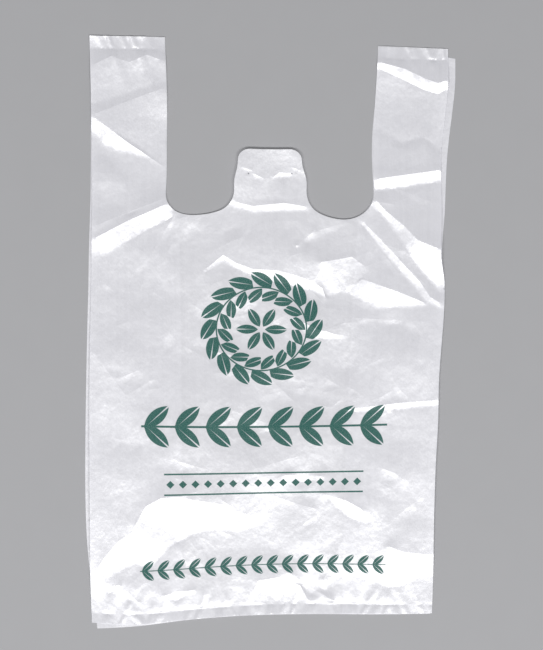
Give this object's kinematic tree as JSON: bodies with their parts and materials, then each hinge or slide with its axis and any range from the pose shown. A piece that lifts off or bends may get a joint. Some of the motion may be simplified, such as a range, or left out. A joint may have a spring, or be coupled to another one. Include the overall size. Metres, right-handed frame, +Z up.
{
  "type": "plastic carrier bag",
  "caption": "Vest carrier of thin milky plastic film, lying flat and empty, with folded side gussets, loop handles and a hanging tab in the mouth.",
  "frame": {"origin": "middle of the underside, between the bottom edge and the handle tops", "axes": "+Z up, out of the front panel; +Y along the bag towards the handles; +X across it, to the right when the front is seen with the handles up"},
  "size_m": [0.28, 0.48, 0.0018],
  "materials": {
    "film": "gloss"
  },
  "bodies": {
    "root": {"bag_film": "film"}
  },
  "joints": []
}
